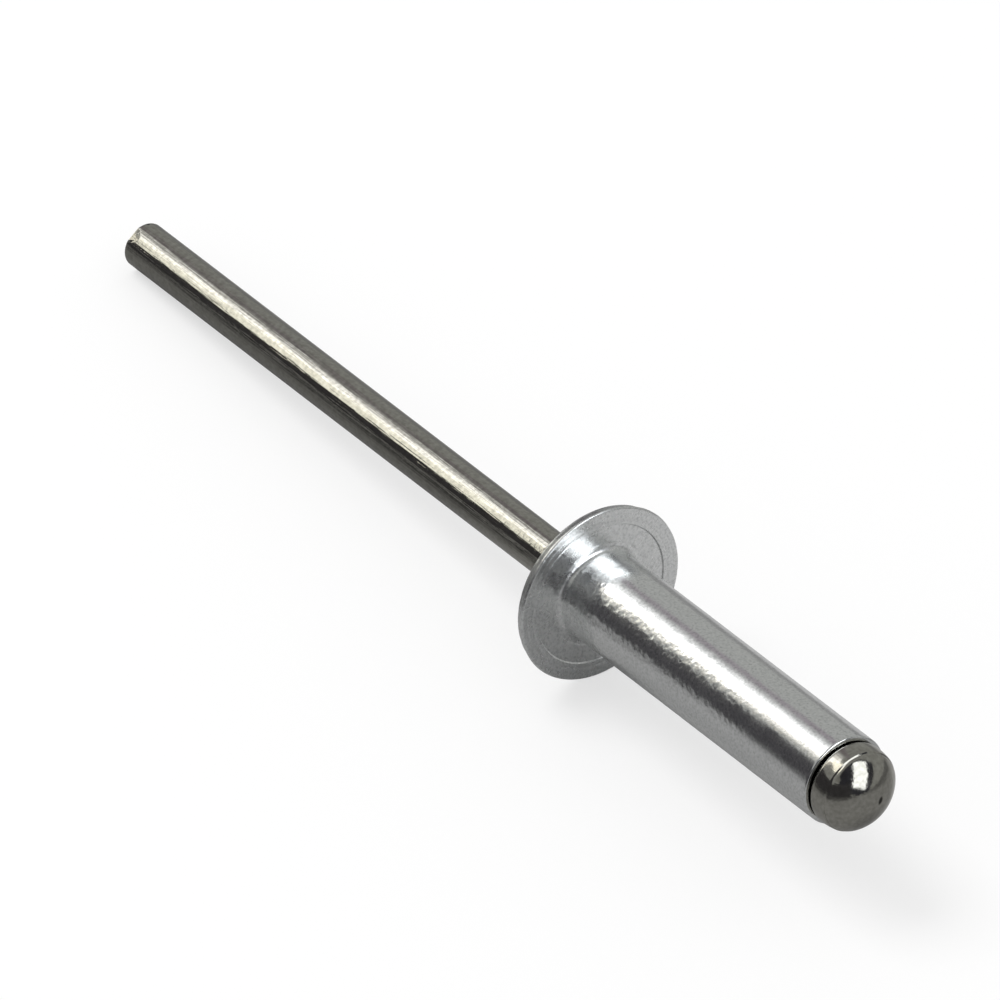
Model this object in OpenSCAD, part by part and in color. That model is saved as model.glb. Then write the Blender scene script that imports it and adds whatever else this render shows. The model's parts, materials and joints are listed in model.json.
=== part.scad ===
// Blind rivet, open end, domed flange, as sold: the soft aluminium body is threaded on a steel
// mandrel. A setting tool grips the stem, draws the mandrel head into the tube and snaps it off
// at the neck. Both pieces turn about one axis and lie down as a loose rivet does.

/* [Tube] */
// Outer diameter of the tube
tube_d = 4.8; // [4:0.1:6]
// Length of the tube below the flange
tube_l = 20; // [10:0.5:30]
// Gap all round between the mandrel and the bore
bore_gap = 0.15; // [0.1:0.01:0.2]
// Width of the end face left round the flared mouth that takes the mandrel head
mouth_wall = 0.21; // [0.2:0.01:0.4]
// Rounding of the outer edge at the tube's end
tube_edge_r = 0.1; // [0.02:0.01:0.11]

/* [Flange] */
// Diameter of the flange
flange_d = 9.5; // [9:0.1:12]
// Thickness of the flange at its rim
rim_t = 0.6; // [0.4:0.05:0.9]
// Height of the dome above the rim, taken at the axis
dome_h = 0.8; // [0.4:0.05:1.5]
// Rounding of the rim's lower edge, beside the bearing face
rim_low_r = 0.1; // [0.02:0.01:0.15]
// Rounding of the rim's upper edge, beside the dome
rim_top_r = 0.15; // [0.05:0.01:0.24]
// Width of the bearing ring, from the rim in to the sunk middle
ring_w = 0.9; // [0.4:0.05:1.3]
// Depth of the sunk middle under the flange
step_h = 0.06; // [0.02:0.01:0.12]
// Radius of the fillet between the tube and the flange
root_r = 0.3; // [0.1:0.05:0.4]
// Width of the lead-in round the bore on top of the dome
lead_w = 0.2; // [0.05:0.05:0.4]

/* [Mandrel stem] */
// Diameter of the mandrel
mandrel_d = 2.4; // [2.3:0.05:2.6]
// Length of stem that stands out above the dome
stem_l = 37; // [25:0.5:45]
// Length of the pinched slopes where the wire was nipped off
nip_l = 0.6; // [0.3:0.1:1.5]
// Thickness left across the nipped end
nip_t = 2.2; // [2:0.05:2.35]
// Turn of the nipped slopes away from upright
nip_turn = 35; // [25:1:90]

/* [Break neck] */
// Distance from the tube's mouth down to the middle of the neck
neck_at = 4; // [2.5:0.5:7]
// Thickness left across each pair of crimps
neck_t = 1.6; // [1.3:0.05:1.9]
// Length of each crimp where it opens on the stem
neck_l = 1; // [0.6:0.1:2]

/* [Mandrel head] */
// Step in from the side of the tube to the side of the head
head_in = 0.15; // [0.05:0.01:0.25]
// Step in from the edge of the mouth to the head's foot
foot_in = 0.14; // [0.12:0.01:0.3]
// Gap between the tube's end and the head's foot
foot_gap = 0.05; // [0.02:0.01:0.3]
// Gap between the head's seat and the inner edge of the mouth
seat_gap = 0.01; // [0:0.005:0.025]
// Length of the swell from the foot to the full head
swell_l = 0.35; // [0.2:0.05:0.6]
// Length of the head from its foot to the crease
flank_l = 1.15; // [0.8:0.05:1.8]
// Step in at the crease, where the dome begins
crease_w = 0.05; // [0.02:0.01:0.1]
// Height of the head's dome above the crease
crown_h = 1.2; // [0.8:0.05:1.5]
// Radius of the dome's shoulder
shoulder_r = 0.3; // [0.1:0.05:0.6]

/* [Hidden] */
$fn = 96;
// Straight steps in each rounded stretch of a turned profile
ARC_STEPS = 10;

tube_r = tube_d / 2;
mouth_r = tube_r - mouth_wall;
flange_r = flange_d / 2;
step_r = flange_r - ring_w;
mandrel_r = mandrel_d / 2;
bore_r = mandrel_r + bore_gap;
head_r = tube_r - head_in;
foot_r = mouth_r - foot_in;

// Heights along the axis: 0 is the flange's bearing face, and the mandrel head is up
mouth_z = tube_l - (mouth_r - bore_r);
stem_z = -rim_t - dome_h - stem_l;
foot_z = tube_l + foot_gap;
crease_z = foot_z + flank_l;
neck_z = tube_l - neck_at;

// The flange's dome is part of a ball that stands on the rim's upper edge
dome_foot_r = flange_r - rim_top_r;
dome_ball_r = (dome_foot_r ^ 2 + dome_h ^ 2) / (2 * dome_h);
function dome_z(r) = -rim_t - dome_h + dome_ball_r - sqrt(dome_ball_r ^ 2 - r ^ 2);
lead_r = bore_r + lead_w;

// The seat runs from the head's foot past the inner edge of the mouth, down to the stem
seat_r = bore_r - seat_gap;
seat_slope = (foot_r - seat_r) / (foot_z - mouth_z);
seat_low_z = mouth_z - (seat_r - mandrel_r) / seat_slope;

// The swell ends upright, so its arc is centred level with its upper end
swell_out = head_r - foot_r;
swell_r = (swell_out ^ 2 + swell_l ^ 2) / (2 * swell_out);

// The dome of the head is a shoulder arc that runs on into a flatter crown arc
crown_foot_r = head_r - crease_w;
crown_r = (crown_foot_r ^ 2 + crown_h ^ 2 - 2 * crown_foot_r * shoulder_r)
    / (2 * (crown_h - shoulder_r));
crown_mid_z = crease_z + crown_h - crown_r;
crown_turn = atan2(crease_z - crown_mid_z, crown_foot_r - shoulder_r);

// Points of an arc in a turned profile, from angle a to angle b
function arc(r, z, radius, a, b) = [
    for (i = [0:ARC_STEPS])
        let (t = a + (b - a) * i / ARC_STEPS)
            [r + radius * cos(t), z + radius * sin(t)]
];

// Section of the body from the axis outward: tube end, fillet, bearing face, rim, dome, bore
body_section = concat(
    [[bore_r, mouth_z], [mouth_r, tube_l]],
    arc(tube_r - tube_edge_r, tube_l - tube_edge_r, tube_edge_r, 90, 0),
    arc(tube_r + root_r, root_r - step_h, root_r, 180, 270),
    [[step_r - step_h, -step_h], [step_r, 0]],
    arc(flange_r - rim_low_r, -rim_low_r, rim_low_r, 90, 0),
    arc(flange_r - rim_top_r, rim_top_r - rim_t, rim_top_r, 0, -90),
    [
        for (i = [1:ARC_STEPS])
            let (r = dome_foot_r + (lead_r - dome_foot_r) * i / ARC_STEPS)
                [r, dome_z(r)]
    ],
    [[bore_r, dome_z(lead_r) + lead_w]]
);

// Section of the mandrel: stem, seat, swelling flank, crease, shoulder and crown
mandrel_section = concat(
    [[0, stem_z], [mandrel_r, stem_z], [mandrel_r, seat_low_z], [foot_r, foot_z]],
    arc(head_r - swell_r, foot_z + swell_l, swell_r, -asin(swell_l / swell_r), 0),
    [[head_r, crease_z - crease_w]],
    arc(crown_foot_r - shoulder_r, crease_z, shoulder_r, 0, crown_turn),
    arc(0, crown_mid_z, crown_r, crown_turn, 90)
);

// At rest the rim's upper edge and the end of the stem touch the ground
rest_r = flange_r - rim_top_r - mandrel_r;
rest_z = rim_top_r - rim_t - stem_z;
lie_tilt = atan2(rest_r, rest_z) + asin(rim_top_r / norm([rest_r, rest_z]));
lie_z = mandrel_r * cos(lie_tilt) - stem_z * sin(lie_tilt);
lie_back = stem_z * cos(lie_tilt) - mandrel_r * sin(lie_tilt);
lie_front = max([for (p = mandrel_section) p[1] * cos(lie_tilt) + p[0] * sin(lie_tilt)]);

// Lays an upright rivet down along X, head forward, with the ground at height 0
module lying() {
    translate([-(lie_back + lie_front) / 2, 0, lie_z])
        rotate([0, 90 - lie_tilt, 0])
            children();
}

// One V crimp, pressed into the stem from the side that faces +X
module crimp() {
    slope = neck_l / 2 / (mandrel_r - neck_t / 2);
    reach = slope * (mandrel_d - neck_t / 2);
    translate([0, mandrel_d, neck_z])
        rotate([90, 0, 0])
            linear_extrude(2 * mandrel_d)
                polygon([[neck_t / 2, 0], [mandrel_d, reach], [mandrel_d, -reach]]);
}

// Outline across the nipped end, wide where the stem is whole
module nip_outline() {
    slope = (mandrel_d - nip_t) / 2 / nip_l;
    top = crease_z + crown_h - stem_z + 1;
    polygon([
        [-nip_t / 2, 0], [nip_t / 2, 0],
        [nip_t / 2 + top * slope, top], [-nip_t / 2 - top * slope, top]
    ]);
}

module rivet_body() {
    color([0.80, 0.81, 0.82])
        lying()
            rotate_extrude()
                polygon(body_section);
}

module mandrel() {
    color([0.50, 0.49, 0.45])
        lying()
            difference() {
                intersection() {
                    rotate_extrude()
                        polygon(mandrel_section);
                    rotate([0, 0, nip_turn])
                        translate([0, tube_d, stem_z])
                            rotate([90, 0, 0])
                                linear_extrude(2 * tube_d)
                                    nip_outline();
                }
                for (side = [0:90:270])
                    rotate([0, 0, side])
                        crimp();
            }
}

rivet_body();
mandrel();
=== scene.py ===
"""A blind rivet lying on a pale floor: the soft aluminium body, threaded on its steel mandrel."""

import json
import math

import bmesh
import bpy
from mathutils import Matrix, Vector, noise


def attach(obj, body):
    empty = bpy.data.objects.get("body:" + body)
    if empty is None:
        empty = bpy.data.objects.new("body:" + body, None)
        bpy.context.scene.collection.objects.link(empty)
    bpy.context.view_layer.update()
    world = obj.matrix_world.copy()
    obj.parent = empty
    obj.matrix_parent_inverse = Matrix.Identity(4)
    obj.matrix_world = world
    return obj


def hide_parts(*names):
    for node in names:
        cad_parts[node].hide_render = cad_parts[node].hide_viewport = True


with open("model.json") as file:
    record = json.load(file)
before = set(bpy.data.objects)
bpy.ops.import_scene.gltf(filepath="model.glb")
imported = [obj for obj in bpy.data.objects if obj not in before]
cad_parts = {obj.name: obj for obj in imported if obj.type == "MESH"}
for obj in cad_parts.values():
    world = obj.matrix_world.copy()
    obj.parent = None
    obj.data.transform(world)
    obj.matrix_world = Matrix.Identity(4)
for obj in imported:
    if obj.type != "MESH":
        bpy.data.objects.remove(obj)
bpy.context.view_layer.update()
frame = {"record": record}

# The rivet lies on its flange and on the end of its stem. LYING takes a point of the upright
# rivet, its axis along Z and the bearing face at height 0, to its place on the floor.
MM = 0.001
mounts = {mount["name"]: mount for mount in frame["record"]["mounts"]}
tube_mount = mounts["tube"]
axis = Vector(tube_mount["axis"]).normalized()
face_point = Vector(mounts["bearing_face"]["pos_m"])
tube_middle = Vector(tube_mount["pos_m"])
seat = tube_middle + axis * (face_point - tube_middle).dot(axis)
ground_side = Vector((0, 1, 0)).cross(axis)
LYING = Matrix((ground_side, Vector((0, 1, 0)), axis)).transposed().to_4x4()
LYING.translation = seat


# The camera looks down on the rivet's head end through a long lens, with hardly any perspective.
# The middle of the bearing face lies a little below and to the right of the picture's middle.
VIEW_AZIMUTH = math.radians(53.75)
VIEW_ELEVATION = math.radians(40.46)
PICTURE_SIDE = 1000
FACE_IN_PICTURE = (600.4, 593.8)
PIXELS_PER_MM = 20.46

lens = bpy.data.cameras.new("camera")
lens.lens = 1080
lens.sensor_width = 36
lens.clip_start = 0.05
lens.clip_end = 20
camera = bpy.data.objects.new("camera", lens)
bpy.context.scene.collection.objects.link(camera)
bpy.context.scene.camera = camera
back = Vector((
    math.sin(VIEW_AZIMUTH) * math.cos(VIEW_ELEVATION),
    -math.cos(VIEW_AZIMUTH) * math.cos(VIEW_ELEVATION),
    math.sin(VIEW_ELEVATION),
))
right = Vector((0, 0, 1)).cross(back).normalized()
up = back.cross(right)
pixel = MM / PIXELS_PER_MM
aim = (
    seat
    - right * (FACE_IN_PICTURE[0] - PICTURE_SIDE / 2) * pixel
    + up * (FACE_IN_PICTURE[1] - PICTURE_SIDE / 2) * pixel
)
distance = lens.lens / lens.sensor_width * PICTURE_SIDE * pixel
camera.location = aim + back * distance
camera.rotation_mode = "QUATERNION"
camera.rotation_quaternion = (-back).to_track_quat("-Z", "Y")


# The studio is a white floor under even light. A grey tent closes round the rivet, and only the
# polish of the metal sees it: a softbox that fades to a dark frame, pale cards for the stem, its
# tail and the head, dark ones for the dark bands, and a hooded side lamp for the head's dome.
class Shade:
    """A node socket that takes part in arithmetic, each operator adding the Math node it means."""

    def __init__(self, tree, socket=None):
        self.tree = tree
        self.socket = socket

    def node(self, kind, settings=None, inputs=None, output=0):
        """Adds a node, sets it up, then fills its sockets with values or links."""
        made = self.tree.nodes.new(kind)
        for name, setting in (settings or {}).items():
            if name == "stops":
                ramp = made.color_ramp.elements
                while len(ramp) < len(setting):
                    ramp.new(0.5)
                for stop, (place, colour) in zip(ramp, setting):
                    stop.position = place
                    stop.color = (*colour, 1)
            else:
                setattr(made, name, setting)
        for name, value in (inputs or {}).items():
            if isinstance(value, Shade):
                self.tree.links.new(value.socket, made.inputs[name])
            else:
                made.inputs[name].default_value = value
        return Shade(self.tree, made.outputs[output] if made.outputs else None)

    def maths(self, operation, *values):
        return self.node("ShaderNodeMath", {"operation": operation}, dict(enumerate(values)))

    def __add__(self, other):
        return self.maths("ADD", self, other)

    def __radd__(self, other):
        return self.maths("ADD", other, self)

    def __sub__(self, other):
        return self.maths("SUBTRACT", self, other)

    def __rsub__(self, other):
        return self.maths("SUBTRACT", other, self)

    def __mul__(self, other):
        return self.maths("MULTIPLY", self, other)

    def __rmul__(self, other):
        return self.maths("MULTIPLY", other, self)

    def at_least(self, other):
        return self.maths("MAXIMUM", self, other)

    def at_most(self, other):
        return self.maths("MINIMUM", self, other)

    def mapped(self, start, end, low=0.0, high=1.0, way="SMOOTHSTEP"):
        """Goes from low to high while this value goes from start to end."""
        return self.node("ShaderNodeMapRange", {"interpolation_type": way}, {
            "Value": self, "From Min": start, "From Max": end, "To Min": low, "To Max": high,
        })

    def speckled(self, scale, detail):
        """Noise over this place, with cells of 1 / scale metres."""
        return self.node("ShaderNodeTexNoise", {}, {
            "Vector": self, "Scale": scale, "Detail": detail,
        })


def new_material(name):
    """An empty material, and a Shade to build its nodes from."""
    material = bpy.data.materials.new(name)
    material.use_nodes = True
    material.node_tree.nodes.clear()
    return material, Shade(material.node_tree)


def placed(mesh, name, material):
    """Puts a mesh in the scene as an object with one material."""
    data = bpy.data.meshes.new(name)
    mesh.to_mesh(data)
    mesh.free()
    data.materials.append(material)
    made = bpy.data.objects.new(name, data)
    bpy.context.scene.collection.objects.link(made)
    return made


def towards(azimuth, elevation):
    """The direction from the rivet at an azimuth, as the camera's is given, and an elevation."""
    a, e = math.radians(azimuth), math.radians(elevation)
    return Vector((math.sin(a) * math.cos(e), -math.cos(a) * math.cos(e), math.sin(e)))


def face_rivet(made, azimuth, elevation, reach, roll=0):
    """Puts an object in the studio, at a distance from the rivet and facing it."""
    direction = towards(azimuth, elevation)
    made.location = seat + direction * reach
    made.rotation_mode = "QUATERNION"
    turn = direction.to_track_quat("Z", "Y")
    made.rotation_quaternion = turn @ Matrix.Rotation(math.radians(roll), 3, "Z").to_quaternion()


def seen_in_polish_only(made):
    """Leaves an object to reflections: it lights nothing, casts no shadow and isn't in the view."""
    made.visible_camera = False
    made.visible_diffuse = False
    made.visible_shadow = False


def in_tent(mesh, name, colour, strength):
    """Makes a mesh a glowing object that only reflections show."""
    material, paint = new_material(name)
    light = paint.node("ShaderNodeEmission", {}, {"Color": (*colour, 1), "Strength": strength})
    paint.node("ShaderNodeOutputMaterial", {}, {"Surface": light})
    made = placed(mesh, name, material)
    seen_in_polish_only(made)
    return made


def patch(name, azimuths, elevations, colour, strength, reach=0.8):
    """A patch of the tent with a brightness of its own, between two azimuths and elevations."""
    mesh = bmesh.new()
    bmesh.ops.create_grid(mesh, x_segments=24, y_segments=6, size=0.5)
    for vert in mesh.verts:
        across, along = vert.co.x + 0.5, vert.co.y + 0.5
        azimuth = azimuths[0] + (azimuths[1] - azimuths[0]) * across
        elevation = elevations[0] + (elevations[1] - elevations[0]) * along
        vert.co = seat + towards(azimuth, elevation) * reach
    in_tent(mesh, name, colour, strength)


def strip(name, ends, directions, reach, colour, strength):
    """A strip beside the rivet, held off a stretch of its axis between two directions from it."""
    mesh = bmesh.new()
    corners = [
        mesh.verts.new(seat + axis * end * MM + towards(*direction) * reach)
        for end, direction in zip(ends + ends[::-1], (directions[0],) * 2 + (directions[1],) * 2)
    ]
    mesh.faces.new(corners)
    in_tent(mesh, name, colour, strength)


def card(name, azimuth, elevation, reach, width, height, colour, strength, roll):
    """A flat card of an even brightness, facing the rivet."""
    mesh = bmesh.new()
    bmesh.ops.create_grid(mesh, x_segments=1, y_segments=1, size=0.5)
    bmesh.ops.scale(mesh, vec=(width, height, 1), verts=mesh.verts)
    made = in_tent(mesh, name, colour, strength)
    face_rivet(made, azimuth, elevation, reach, roll)


FLOOR_SIDE = 12.0
FLOOR_COLOUR = (0.95, 0.95, 0.95)
FLOOR_LIFT = 0.6
GREY_CARD_RISE = 0.00001
TENT_RADIUS = 1.6
TENT_GREY = (0.37, 0.375, 0.365)
NEUTRAL = (1.0, 1.0, 1.0)
CREAM = (1.0, 0.97, 0.86)
FADE_STEPS = 12
FADE_START, FADE_END = -106, -70
FADE_LEAST, FADE_GAIN, FADE_POWER = 0.37, 2.8, 1.6
AMBIENT = 0.75

floor_paper, paint = new_material("floor_paper")
paper = paint.node("ShaderNodeBsdfDiffuse", {}, {"Color": (*FLOOR_COLOUR, 1)})
white = paint.node("ShaderNodeEmission", {}, {"Color": (1, 1, 1, 1), "Strength": 1.0})
camera_ray = paint.node("ShaderNodeLightPath", {}, {}, "Is Camera Ray")
lifted = paint.node("ShaderNodeMixShader", {}, {0: camera_ray * FLOOR_LIFT, 1: paper, 2: white})
paint.node("ShaderNodeOutputMaterial", {}, {"Surface": lifted})
mesh = bmesh.new()
bmesh.ops.create_grid(mesh, x_segments=1, y_segments=1, size=FLOOR_SIDE / 2)
floor = placed(mesh, "floor", floor_paper)

# In the polish, a grey card takes the floor's place, with painted shade and painted light in its
# tone: it darkens away from the camera's side and under the stem, and brightens just beyond the
# tube. Places are in metres from the rivet's middle.
grey_paper, paint = new_material("grey_paper")
place = paint.node("ShaderNodeTexCoord", {}, {}, "Object")
across = paint.node("ShaderNodeSeparateXYZ", {}, {"Vector": place}, "Y")
along = paint.node("ShaderNodeSeparateXYZ", {}, {"Vector": place}, "X")
near_side = across.mapped(-0.075, -0.010, 0.09, 0.31)
past_tube = across.mapped(-0.006, 0.006, 0.0, 0.16) * along.mapped(0.026, 0.031, 1.0, 0.0)
far_side = across.mapped(0.020, 0.045, 0.0, 0.14)
# Painted shade: the card is darker under the stem.
painted_shade_under_stem = across.mapped(-0.015, 0.001, 0.06, 0.25)
by_tube = along.mapped(-0.008, 0.002).at_least(across.mapped(-0.026, -0.018, 1.0, 0.0))
painted_floor_shading = (near_side + past_tube - far_side) * by_tube + painted_shade_under_stem * (1 - by_tube)
paper = paint.node("ShaderNodeBsdfDiffuse", {}, {"Color": painted_floor_shading})
paint.node("ShaderNodeOutputMaterial", {}, {"Surface": paper})
mesh = bmesh.new()
bmesh.ops.create_circle(mesh, cap_ends=True, segments=64, radius=TENT_RADIUS)
bmesh.ops.translate(mesh, vec=(0, 0, GREY_CARD_RISE), verts=mesh.verts)
grey_card = placed(mesh, "grey_card", grey_paper)
seen_in_polish_only(grey_card)

mesh = bmesh.new()
bmesh.ops.create_uvsphere(mesh, u_segments=48, v_segments=24, radius=TENT_RADIUS)
in_tent(mesh, "tent", TENT_GREY, 1.0)
patch("softbox", (-70, -67), (30, 58), (1.0, 0.98, 0.92), 3.2)
patch("softbox_edge", (-67, -58), (32, 58), (1.0, 0.965, 0.90), 1.0)
fade_width = (FADE_END - FADE_START) / FADE_STEPS
for i in range(FADE_STEPS):
    start = FADE_START + fade_width * i
    strength = FADE_LEAST + FADE_GAIN * ((i + 0.5) / FADE_STEPS) ** FADE_POWER
    patch(f"softbox_fade_{i}", (start, start + fade_width), (31, 58), NEUTRAL, strength)
patch("softbox_frame", (-117, -106), (12, 62), (0.29, 0.265, 0.285), 1.0)
patch("warm_strip", (-67, -55), (28.6, 32), (1.0, 0.94, 0.80), 0.55)
strip("cream_card", (-40, -1), ((-67, 37.8), (-50.8, 23)), 0.06, (1.0, 0.985, 0.89), 1.9)
patch("behind_camera", (15, 100), (34, 80), (0.28, 0.28, 0.27), 1.0, reach=1.2)
patch("head_card", (-68, -36), (47, 64), CREAM, 2.6, reach=0.77)
patch("tail_card", (-84, -62), (12.5, 24), CREAM, 1.7, reach=0.79)
patch("far_end", (-130, -60), (-1, 12), (0.03, 0.03, 0.035), 1.0, reach=0.79)
patch("black_flag", (-56, 72), (-1, 28.6), (0.055, 0.053, 0.057), 1.0, reach=0.78)
card("side_lamp", 106, 36, 0.9, 0.50, 0.92, (0.94, 0.97, 1.0), 2.6, roll=-36)
card("side_lamp_hood", 96, 37, 0.95, 1.4, 1.5, (0.04, 0.04, 0.05), 1.0, roll=-40)

world = bpy.data.worlds.new("world")
world.use_nodes = True
world.node_tree.nodes.clear()
bpy.context.scene.world = world
sky = Shade(world.node_tree)
camera_ray = sky.node("ShaderNodeLightPath", {}, {}, "Is Camera Ray")
glossy_ray = sky.node("ShaderNodeLightPath", {}, {}, "Is Glossy Ray")
glass_ray = sky.node("ShaderNodeLightPath", {}, {}, "Is Transmission Ray")
seen = camera_ray.at_least(glossy_ray.at_least(glass_ray))
strength = seen * (1 - AMBIENT) + AMBIENT
light = sky.node("ShaderNodeBackground", {}, {"Color": (1, 1, 1, 1), "Strength": strength})
sky.node("ShaderNodeOutputWorld", {}, {"Surface": light})

overhead_data = bpy.data.lights.new("overhead", "AREA")
overhead_data.shape = "DISK"
overhead_data.size = 0.7
overhead_data.energy = 5.6
overhead = bpy.data.objects.new("overhead", overhead_data)
bpy.context.scene.collection.objects.link(overhead)
face_rivet(overhead, azimuth=-60, elevation=60, reach=1.2)
overhead.visible_camera = False
overhead.visible_glossy = False


# The body is one piece of soft aluminium, cold headed: a tube, drilled through, with a domed flange
# pressed on one end. Tumbling left the tube softly dented, most on one side and towards the flange,
# and the side of the rim leans in.
TUBE_R = tube_mount["dims"]["r_mm"]
TUBE_L = 20.0
BORE_R = 1.35
MOUTH_R = 2.19
MOUTH_Z = 19.16
TUBE_EDGE_R = 0.1
FLANGE_R = 4.75
RIM_T = 0.6
DOME_H = 0.8
RIM_LOW_R = 0.1
RIM_TOP_R = 0.15
STEP_R = 3.85
STEP_H = 0.06
ROOT_R = 0.3
LEAD_W = 0.2
FORMING_LINES = ((2.78, 0.05, 0.012), (4.08, 0.05, 0.014), (4.42, 0.035, 0.008))
BODY_SEGMENTS = 256
TUBE_RING_GAP = 0.08
MOUTH_RING_GAP = 0.2
UNDERSIDE_RING_GAP = 0.04
FACE_RING_GAP = 0.03
RIM_RING_GAP = 0.08
BORE_RING_GAP = 2.0
DOME_STEPS = 24
RIM_LEAN = 0.12
DENT_GAP = 0.31
DENT_REACH = 0.62
DENT_DEPTH = 0.0065
SWELLING = 0.005
SWELLING_GAP = 1.3
SWELLING_TOP = 0.6
SMOOTH_BY_FLANGE = 0.6
SMOOTH_BY_MOUTH = 0.3
LEFT_AT_MOUTH = 0.3
WORN_SIDE = Vector((0.607, -0.795))
WORN_FROM, WORN_FULLY = -0.4, -0.1
WORN_TO, UNWORN_FROM = 13.0, 16.0
LEAST_WEAR = 0.25
NICK_DEPTH = 0.03
NICKS_PER_MM = 1.7
NICK_LEAST = 0.12
NICK_PATTERN_AT = Vector((3, 8, 5))
CREASE_ANGLE = math.radians(38)
DOUBLES_WITHIN = 0.0002
ALUMINIUM_TINTS = (
    (0.30, (0.69, 0.70, 0.695)), (0.50, (0.86, 0.87, 0.865)), (0.70, (0.95, 0.955, 0.95)),
)
ALUMINIUM_RELIEF = 0.000011


def arc(r, z, radius, start, end, steps):
    """Points of a round stretch of a turned outline, from one angle to another, in degrees."""
    angles = [math.radians(start + (end - start) * i / steps) for i in range(steps + 1)]
    return [(r + radius * math.cos(a), z + radius * math.sin(a)) for a in angles]


def straight(start, end, gap):
    """Points along a straight stretch of a turned outline, no further apart than gap."""
    count = max(1, math.ceil(math.dist(start, end) / gap))
    return [tuple(Vector(start).lerp(Vector(end), i / count)) for i in range(count + 1)]


def turned(outline, segments):
    """Turns an outline of (radius, height) points, in mm, full circle round the Z axis."""
    mesh = bmesh.new()
    points = [mesh.verts.new((r, 0, z)) for r, z in outline]
    edges = [mesh.edges.new(ends) for ends in zip(points, points[1:])]
    bmesh.ops.spin(
        mesh, geom=points + edges, cent=(0, 0, 0), axis=(0, 0, 1), dvec=(0, 0, 0),
        angle=math.tau / 4, steps=segments // 4, use_merge=False, use_duplicate=False,
    )
    quarter = mesh.verts[:] + mesh.edges[:] + mesh.faces[:]
    for turn in (1, 2, 3):
        copied = bmesh.ops.duplicate(mesh, geom=quarter)["geom"]
        moved = [part for part in copied if isinstance(part, bmesh.types.BMVert)]
        bmesh.ops.rotate(
            mesh, verts=moved, cent=(0, 0, 0), matrix=Matrix.Rotation(turn * math.tau / 4, 3, "Z"),
        )
    bmesh.ops.remove_doubles(mesh, verts=mesh.verts, dist=DOUBLES_WITHIN)
    bmesh.ops.recalc_face_normals(mesh, faces=mesh.faces)
    return mesh


def finished(mesh, name, material):
    """Lays an upright mesh, in mm, down in its place as a smooth piece of the rivet."""
    bmesh.ops.scale(mesh, vec=(MM, MM, MM), verts=mesh.verts)
    mesh.transform(LYING)
    piece = placed(mesh, name, material)
    piece.data.shade_smooth()
    piece.data.set_sharp_from_angle(angle=CREASE_ANGLE)
    return piece


def upright(paint):
    """Where a point of the lying rivet is on the upright one, in metres, to lay patterns by."""
    place = paint.node("ShaderNodeTexCoord", {}, {}, "Object")
    standing = LYING.inverted()
    return paint.node("ShaderNodeMapping", {"vector_type": "POINT"}, {
        "Vector": place, "Location": standing.translation, "Rotation": standing.to_euler(),
    })


def eased(value, start, end):
    """Goes from 0 at start to 1 at end, easing in and out."""
    share = min(1, max(0, (value - start) / (end - start)))
    return share * share * (3 - 2 * share)


dome_foot_r = FLANGE_R - RIM_TOP_R
ball_r = (dome_foot_r ** 2 + DOME_H ** 2) / (2 * DOME_H)
lead_r = BORE_R + LEAD_W


def dome_z(r):
    """Height of the flange's dome, part of a ball, at a distance from the axis."""
    return -RIM_T - DOME_H + ball_r - math.sqrt(ball_r ** 2 - r ** 2)


def lined(points):
    """Presses the faint forming lines into the flange's underside."""
    return [
        (r, z - sum(d * math.exp(-((r - middle) / w) ** 2) for middle, w, d in FORMING_LINES))
        for r, z in points
    ]


dome_radii = [
    dome_foot_r + (lead_r - dome_foot_r) * i / DOME_STEPS for i in range(1, DOME_STEPS + 1)
]
body_outline = [
    *straight((BORE_R, MOUTH_Z), (MOUTH_R, TUBE_L), MOUTH_RING_GAP),
    *arc(TUBE_R - TUBE_EDGE_R, TUBE_L - TUBE_EDGE_R, TUBE_EDGE_R, 90, 0, 6),
    *straight((TUBE_R, TUBE_L - TUBE_EDGE_R), (TUBE_R, ROOT_R - STEP_H), TUBE_RING_GAP)[1:-1],
    *arc(TUBE_R + ROOT_R, ROOT_R - STEP_H, ROOT_R, 180, 270, 10),
    *lined(straight(
        (TUBE_R + ROOT_R, -STEP_H), (STEP_R - STEP_H, -STEP_H), UNDERSIDE_RING_GAP,
    )[1:]),
    *lined(straight((STEP_R, 0), (FLANGE_R - RIM_LOW_R, 0), FACE_RING_GAP)),
    *arc(FLANGE_R - RIM_LOW_R, -RIM_LOW_R, RIM_LOW_R, 90, 0, 6)[1:],
    *straight(
        (FLANGE_R, -RIM_LOW_R), (FLANGE_R - RIM_LEAN, RIM_TOP_R - RIM_T), RIM_RING_GAP,
    )[1:-1],
    *arc(FLANGE_R - RIM_LEAN - RIM_TOP_R, RIM_TOP_R - RIM_T, RIM_TOP_R, 0, -90, 8),
    *[(r, dome_z(r)) for r in dome_radii],
    *straight((BORE_R, dome_z(lead_r) + LEAD_W), (BORE_R, MOUTH_Z), BORE_RING_GAP)[:-1],
]
body_outline.append(body_outline[0])
body_mesh = turned(body_outline, BODY_SEGMENTS)

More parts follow.
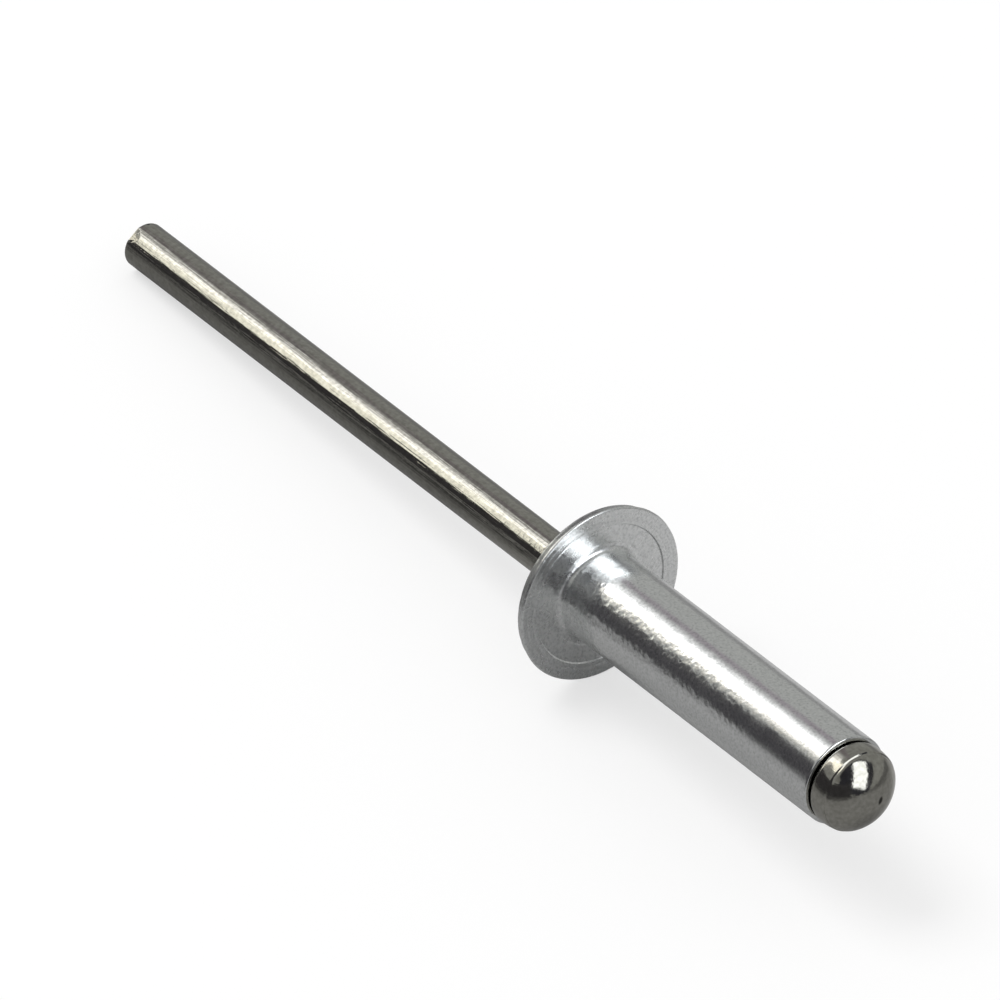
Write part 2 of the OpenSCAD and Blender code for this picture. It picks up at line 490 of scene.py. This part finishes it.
for vert in body_mesh.verts:
    r, z = vert.co.xy.length, vert.co.z
    if r > TUBE_R - 0.01 and z > 0:
        near = noise.voronoi(vert.co / DENT_GAP)[0][0]
        side = eased(vert.co.xy.dot(WORN_SIDE) / r, WORN_FROM, WORN_FULLY)
        worn = LEAST_WEAR + (1 - LEAST_WEAR) * side * (1 - eased(z, WORN_TO, UNWORN_FROM))
        dent = DENT_DEPTH * worn * max(0, 1 - (near / DENT_REACH) ** 2)
        wave = SWELLING * (SWELLING_TOP - noise.noise(vert.co / SWELLING_GAP))
        by_mouth = (TUBE_L - z) / SMOOTH_BY_MOUTH + LEFT_AT_MOUTH
        ends = min(1, z / SMOOTH_BY_FLANGE) * min(1, by_mouth)
        vert.co.xy *= 1 - (wave + dent) * ends / r
    elif r > FLANGE_R - 0.2 and z < 0:
        nick = noise.noise(vert.co * NICKS_PER_MM + NICK_PATTERN_AT) - NICK_LEAST
        vert.co.xy *= 1 - NICK_DEPTH * max(0, nick) / r

aluminium, paint = new_material("tumbled_aluminium")
place = upright(paint)
cloud = place.speckled(900.0, 3.0)
grain = place.speckled(7500.0, 2.0)
pits = paint.node("ShaderNodeTexVoronoi", {"feature": "SMOOTH_F1"}, {
    "Vector": place, "Scale": 3400.0, "Smoothness": 0.6,
})
tint = paint.node("ShaderNodeValToRGB", {"stops": ALUMINIUM_TINTS}, {"Fac": grain})
along = paint.node("ShaderNodeSeparateXYZ", {}, {"Vector": place}, "Z")
flange = along.mapped(0.0010, 0.0001, way="LINEAR")
side = paint.node("ShaderNodeVectorMath", {"operation": "DOT_PRODUCT"}, {
    0: place, 1: (*WORN_SIDE / (TUBE_R * MM), 0),
}, "Value")
worn_side = side.mapped(WORN_FROM, WORN_FULLY, low=LEAST_WEAR)
worn_stretch = along.mapped(UNWORN_FROM * MM, WORN_TO * MM, low=LEAST_WEAR)
height = (grain * 0.5 + pits) * worn_side * worn_stretch
bump = paint.node("ShaderNodeBump", {}, {
    "Height": height, "Distance": ALUMINIUM_RELIEF, "Strength": 1.0,
})
metal = paint.node("ShaderNodeBsdfPrincipled", {}, {
    "Base Color": tint, "Metallic": 1.0,
    "Roughness": cloud * 0.16 + flange * 0.12 + 0.08, "Normal": bump,
})
paint.node("ShaderNodeOutputMaterial", {}, {"Surface": metal})
body = finished(body_mesh, "aluminium_body", aluminium)
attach(body, "root")
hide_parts("rivet_body")


# The mandrel is one length of drawn steel wire, nipped off at the tail, with a head upset on it.
# The head sits in the tube's flared mouth, and inside the tube four crimps in the wire make the
# neck that breaks.
STEM_R = 1.2
STEM_END_Z = -38.4
STEM_EDGE_R = 0.04
STEM_RING_GAP = 0.2
NECK_RING_GAP = 0.05
SEAT_RING_GAP = 0.1
FLANK_RING_GAP = 0.05
SEAT_R = 1.34
FOOT_R = 2.05
FOOT_Z = 20.05
HEAD_R = 2.25
SWELL_L = 0.35
CREASE_Z = 21.2
CREASE_W = 0.05
BARREL_IN = 0.08
CROWN_H = 1.2
SHOULDER_R = 0.3
NECK_Z = 16.0
NECK_T = 1.6
NECK_L = 1.0
NIP_T = 2.2
NIP_L = 0.6
NIP_TURN = 35
PIT_AT = Vector((0.07, 0.42))
PIT_ALONG = Vector((0.9, -0.43)).normalized()
PIT_DEPTH = 0.035
PIT_HALF_LENGTH, PIT_HALF_WIDTH = 0.17, 0.07
PIT_SHADE_SIZE = Vector((0.26, 0.15, 0.6))
PIT_SHADE_GAIN, PIT_SHADE_MOST = 2.2, 0.85
MANDREL_SEGMENTS = 192
STEEL_TINTS = (
    (0.32, (0.36, 0.35, 0.315)), (0.52, (0.42, 0.41, 0.37)), (0.70, (0.47, 0.46, 0.42)),
)
STEEL_RELIEF = 0.000022

seat_slope = (FOOT_R - SEAT_R) / (FOOT_Z - MOUTH_Z)
seat_low_z = MOUTH_Z - (SEAT_R - STEM_R) / seat_slope
swell_r = ((HEAD_R - FOOT_R) ** 2 + SWELL_L ** 2) / (2 * (HEAD_R - FOOT_R))
swell_turn = math.degrees(math.asin(SWELL_L / swell_r))
barrel_z = FOOT_Z + SWELL_L
crown_foot_r = HEAD_R - BARREL_IN - CREASE_W
crown_r = crown_foot_r ** 2 + CROWN_H ** 2 - 2 * crown_foot_r * SHOULDER_R
crown_r /= 2 * (CROWN_H - SHOULDER_R)
crown_mid_z = CREASE_Z + CROWN_H - crown_r
crown_turn = math.degrees(math.atan2(CREASE_Z - crown_mid_z, crown_foot_r - SHOULDER_R))

barrel = [
    (r - BARREL_IN * ((z - barrel_z) / (CREASE_Z - barrel_z)) ** 2, z)
    for r, z in straight((HEAD_R, barrel_z), (HEAD_R, CREASE_Z - CREASE_W), FLANK_RING_GAP)
]
mandrel_outline = [
    *straight((0, STEM_END_Z), (STEM_R - STEM_EDGE_R, STEM_END_Z), STEM_RING_GAP),
    *arc(STEM_R - STEM_EDGE_R, STEM_END_Z + STEM_EDGE_R, STEM_EDGE_R, -90, 0, 3)[1:],
    *straight((STEM_R, STEM_END_Z + STEM_EDGE_R), (STEM_R, NECK_Z - NECK_L), STEM_RING_GAP)[1:],
    *straight((STEM_R, NECK_Z - NECK_L), (STEM_R, NECK_Z), NECK_RING_GAP)[1:],
    *straight((STEM_R, NECK_Z), (STEM_R, NECK_Z + NECK_L), NECK_RING_GAP)[1:],
    *straight((STEM_R, NECK_Z + NECK_L), (STEM_R, seat_low_z), STEM_RING_GAP)[1:],
    *straight((STEM_R, seat_low_z), (FOOT_R, FOOT_Z), SEAT_RING_GAP)[1:],
    *arc(HEAD_R - swell_r, FOOT_Z + SWELL_L, swell_r, -swell_turn, 0, 10)[1:],
    *barrel[1:],
    *arc(crown_foot_r - SHOULDER_R, CREASE_Z, SHOULDER_R, 0, crown_turn, 10),
    *arc(0, crown_mid_z, crown_r, crown_turn, 90, 80)[1:],
]
mandrel_mesh = turned(mandrel_outline, MANDREL_SEGMENTS)

crimp_slope = (STEM_R - NECK_T / 2) / (NECK_L / 2)
for vert in mandrel_mesh.verts:
    if abs(vert.co.z - NECK_Z) <= NECK_L / 2:
        half = NECK_T / 2 + abs(vert.co.z - NECK_Z) * crimp_slope
        vert.co.x = max(-half, min(half, vert.co.x))
        vert.co.y = max(-half, min(half, vert.co.y))

for vert in mandrel_mesh.verts:
    if vert.co.z > CREASE_Z:
        from_pit = vert.co.xy - PIT_AT
        along = from_pit.dot(PIT_ALONG) / PIT_HALF_LENGTH
        across = from_pit.cross(PIT_ALONG) / PIT_HALF_WIDTH
        vert.co.z -= PIT_DEPTH * math.exp(-along ** 2 - across ** 2)

nip_lean = math.atan2(STEM_R - NIP_T / 2, NIP_L)
for side in (0, 180):
    out = Matrix.Rotation(math.radians(NIP_TURN + side), 3, "Z") @ Vector((1, 0, 0))
    bmesh.ops.bisect_plane(
        mandrel_mesh, geom=mandrel_mesh.verts[:] + mandrel_mesh.edges[:] + mandrel_mesh.faces[:],
        plane_co=out * NIP_T / 2 + Vector((0, 0, STEM_END_Z)),
        plane_no=out * math.cos(nip_lean) - Vector((0, 0, math.sin(nip_lean))), clear_outer=True,
    )
    open_edges = [edge for edge in mandrel_mesh.edges if edge.is_boundary]
    bmesh.ops.edgenet_fill(mandrel_mesh, edges=open_edges)
bmesh.ops.recalc_face_normals(mandrel_mesh, faces=mandrel_mesh.faces)

steel, paint = new_material("drawn_steel")
place = upright(paint)
stretched = paint.node("ShaderNodeMapping", {"vector_type": "POINT"}, {
    "Vector": place, "Scale": Vector((1, 1, 0.04)),
})
lines = stretched.speckled(7000.0, 2.0)
dimples = place.speckled(4500.0, 2.0)
cloud = place.speckled(1500.0, 4.0)
along = paint.node("ShaderNodeSeparateXYZ", {}, {"Vector": place}, "Z")
drawn = along.mapped(0.0190, 0.0205, low=1.0, high=0.2, way="LINEAR")
height = (lines * 0.9 + dimples * 0.32) * drawn
bump = paint.node("ShaderNodeBump", {}, {
    "Height": height, "Distance": STEEL_RELIEF, "Strength": 1.0,
})
tint = paint.node("ShaderNodeValToRGB", {"stops": STEEL_TINTS}, {"Fac": dimples})
# Painted shade in the pit: a spot round the pit on the dome darkens the steel's colour, and the
# same spot makes it rougher.
in_pit = paint.node("ShaderNodeMapping", {"vector_type": "TEXTURE"}, {
    "Vector": place, "Location": Vector((*PIT_AT, CREASE_Z + CROWN_H)) * MM,
    "Rotation": (0, 0, math.atan2(PIT_ALONG.y, PIT_ALONG.x)),
    "Scale": PIT_SHADE_SIZE * MM,
})
painted_pit_shade = paint.node("ShaderNodeTexGradient", {"gradient_type": "SPHERICAL"}, {"Vector": in_pit})
outside_pit_shade = 1 - (painted_pit_shade * PIT_SHADE_GAIN).at_most(PIT_SHADE_MOST)
tint = paint.node("ShaderNodeVectorMath", {"operation": "SCALE"}, {0: tint, "Scale": outside_pit_shade})
metal = paint.node("ShaderNodeBsdfPrincipled", {}, {
    "Base Color": tint, "Metallic": 1.0,
    "Roughness": cloud * 0.12 + 0.06 + painted_pit_shade * 0.5, "Normal": bump,
})
paint.node("ShaderNodeOutputMaterial", {}, {"Surface": metal})
mandrel = finished(mandrel_mesh, "steel_mandrel", steel)
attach(mandrel, "root")
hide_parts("mandrel")


# The picture keeps the colours as they are made.
bpy.context.scene.view_settings.view_transform = "Standard"
